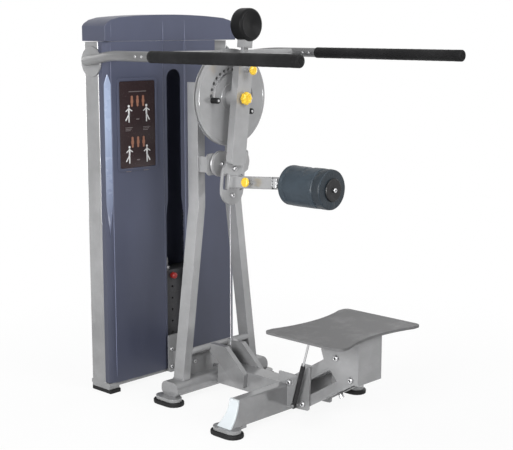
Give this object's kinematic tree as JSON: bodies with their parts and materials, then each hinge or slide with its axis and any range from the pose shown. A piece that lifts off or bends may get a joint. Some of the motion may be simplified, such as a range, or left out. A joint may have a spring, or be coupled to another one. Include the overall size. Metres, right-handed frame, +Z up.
{
  "type": "multi-function leg machine",
  "caption": "Standing leg machine: guarded weight stack, swinging roller lever on an indexed cam disc, long side handles and a foot platform that raises and lowers.",
  "frame": {"origin": "on the floor under the middle of the machine's length and width", "axes": "+Z up, +Y from the user's platform to the weight tower, +X to the user's right as the user faces the tower"},
  "size_m": [1.0066, 1.3038, 1.6339],
  "materials": {
    "silver_paint": "satin",
    "dark_metal": "satin",
    "bright_steel": "satin",
    "iron": "matte",
    "black_coated_weight": "satin",
    "black_rubber": "matte",
    "black_plastic": "matte",
    "slate_shell": "satin",
    "placard_brown": "satin",
    "yellow_plastic": "gloss",
    "red_plastic": "gloss",
    "white_plastic": "satin",
    "slate_upholstery": "matte"
  },
  "bodies": {
    "frame": {"tower_frame": "silver_paint", "top_cap": "slate_shell", "front_cover": "slate_shell", "rear_cover": "slate_shell", "placard": "placard_brown", "left_guide_rod": "bright_steel", "right_guide_rod": "bright_steel", "weight_plate_1": "iron", "weight_plate_2": "iron", "weight_plate_3": "iron", "weight_plate_4": "iron", "weight_plate_5": "iron", "stack_cushion": "black_rubber", "drive_cable": "bright_steel", "lift_cable": "bright_steel", "a_frame": "silver_paint", "base_tube": "silver_paint", "center_beam": "silver_paint", "rear_beam": "silver_paint", "front_tube": "silver_paint", "left_end_cap": "white_plastic", "right_end_cap": "white_plastic", "left_rear_foot": "black_rubber", "right_rear_foot": "black_rubber", "left_front_foot": "black_rubber", "right_front_foot": "black_rubber", "platform_bracket": "silver_paint", "left_bar": "silver_paint", "right_bar": "silver_paint", "left_grip": "black_rubber", "right_grip": "black_rubber", "tie_tube": "silver_paint"},
    "cam": {"cam_disc": "silver_paint", "left_stop": "black_rubber", "right_stop": "black_rubber"},
    "lever": {"lever_arm": "silver_paint", "counterweight": "black_coated_weight", "roller_mount": "silver_paint"},
    "star_knob": {"star_knob": "yellow_plastic"},
    "index_pin": {"index_pin": "yellow_plastic"},
    "sleeve_pin": {"sleeve_pin": "yellow_plastic"},
    "roller_bar": {"roller_shaft": "bright_steel", "roller_cap": "black_plastic"},
    "roller": {"roller_pad": "slate_upholstery"},
    "stack_head": {"head_plate": "iron", "selector_stem": "bright_steel"},
    "selector_pin": {"selector_pin": "red_plastic"},
    "top_pulley": {"top_pulley": "black_plastic"},
    "base_pulley": {"base_pulley": "black_plastic"},
    "frame_pulley": {"frame_pulley": "black_plastic"},
    "left_guide_pulley": {"left_guide_pulley": "bright_steel"},
    "right_guide_pulley": {"right_guide_pulley": "bright_steel"},
    "lower_link": {"lower_link": "silver_paint"},
    "upper_link": {"upper_link": "silver_paint"},
    "platform": {"carriage": "silver_paint", "deck": "dark_metal"},
    "release_pin": {"release_pin": "bright_steel"},
    "gas_cylinder": {"gas_cylinder": "black_plastic"},
    "gas_rod": {"gas_rod": "bright_steel"}
  },
  "joints": [
    {"name": "leg_swing", "type": "hinge", "parent": "frame", "child": "cam", "pos_m": [0, 0.1514, 1.271], "axis": [0, -1, 0], "range_deg": [0, 80]},
    {"name": "lever_index", "type": "hinge", "parent": "cam", "child": "lever", "pos_m": [0, 0.1514, 1.271], "axis": [0, -1, 0], "range_deg": [-39, 26]},
    {"name": "knob_turn", "type": "hinge", "parent": "cam", "child": "star_knob", "pos_m": [0, 0.1514, 1.271], "axis": [0, -1, 0], "continuous": true},
    {"name": "index_pin_push", "type": "slide", "parent": "lever", "child": "index_pin", "axis": [0, 1, 0], "range_m": [0, 0.0115]},
    {"name": "sleeve_pin_push", "type": "slide", "parent": "lever", "child": "sleeve_pin", "axis": [0.9936, 0, -0.1132], "range_m": [0, 0.01]},
    {"name": "roller_slide", "type": "slide", "parent": "lever", "child": "roller_bar", "axis": [0.0079, -0.9976, 0.0693], "range_m": [0, 0.075]},
    {"name": "roller_spin", "type": "hinge", "parent": "roller_bar", "child": "roller", "pos_m": [-0.03702, -0.2086, 0.9461], "axis": [0, -1, 0], "continuous": true},
    {"name": "stack_lift", "type": "slide", "parent": "frame", "child": "stack_head", "axis": [0, 0, 1], "range_m": [0, 0.272], "deforming": ["lift_cable"]},
    {"name": "selector_pull", "type": "slide", "parent": "stack_head", "child": "selector_pin", "axis": [0, -1, 0], "range_m": [0, 0.085]},
    {"name": "top_pulley_turn", "type": "hinge", "parent": "frame", "child": "top_pulley", "pos_m": [0, 0.6039, 1.42], "axis": [-1, 0, 0], "continuous": true},
    {"name": "base_pulley_turn", "type": "hinge", "parent": "frame", "child": "base_pulley", "pos_m": [0, 0.6039, 0.1345], "axis": [-1, 0, 0], "continuous": true},
    {"name": "frame_pulley_turn", "type": "hinge", "parent": "frame", "child": "frame_pulley", "pos_m": [0, 0.1964, 0.14], "axis": [-1, 0, 0], "continuous": true},
    {"name": "left_guide_turn", "type": "hinge", "parent": "frame", "child": "left_guide_pulley", "pos_m": [-0.0545, 0.1614, 1], "axis": [0, 1, 0], "continuous": true},
    {"name": "right_guide_turn", "type": "hinge", "parent": "frame", "child": "right_guide_pulley", "pos_m": [0.0545, 0.1614, 1], "axis": [0, 1, 0], "continuous": true},
    {"name": "platform_lift", "type": "hinge", "parent": "frame", "child": "lower_link", "pos_m": [0, -0.3156, 0.08], "axis": [-1, 0, 0], "range_deg": [-30, 5]},
    {"name": "upper_link_turn", "type": "hinge", "parent": "frame", "child": "upper_link", "pos_m": [0, -0.2426, 0.153], "axis": [-1, 0, 0], "range_deg": [-30.1, 5.1]},
    {"name": "platform_level", "type": "hinge", "parent": "lower_link", "child": "platform", "pos_m": [0, -0.55612, 0.22913], "axis": [-1, 0, 0], "range_deg": [-5.1, 30.1]},
    {"name": "release_pull", "type": "slide", "parent": "lower_link", "child": "release_pin", "axis": [0, -0.527, -0.8499], "range_m": [0, 0.008], "stiffness_N_per_m": 400, "springref_m": -0.005},
    {"name": "gas_spring_turn", "type": "hinge", "parent": "frame", "child": "gas_cylinder", "pos_m": [-0.105, -0.2946, 0.075], "axis": [-1, 0, 0], "range_deg": [-23, 4]},
    {"name": "gas_spring_stroke", "type": "slide", "parent": "gas_cylinder", "child": "gas_rod", "axis": [0, -0.2739, 0.9618], "range_m": [-0.1055, 0.018]}
  ],
  "couplings": [
    {"joint": "stack_lift", "follows": "leg_swing", "m_per_rad": 0.1945},
    {"joint": "top_pulley_turn", "follows": "leg_swing", "ratio": 6.593},
    {"joint": "base_pulley_turn", "follows": "leg_swing", "ratio": 6.593},
    {"joint": "frame_pulley_turn", "follows": "leg_swing", "ratio": 5.557},
    {"joint": "right_guide_turn", "follows": "leg_swing", "ratio": 3.569},
    {"joint": "upper_link_turn", "follows": "platform_lift", "ratio": 1},
    {"joint": "platform_level", "follows": "platform_lift", "ratio": -1},
    {"joint": "gas_spring_turn", "follows": "platform_lift", "ratio": 0.76},
    {"joint": "gas_spring_stroke", "follows": "platform_lift", "m_per_rad": 0.2}
  ]
}
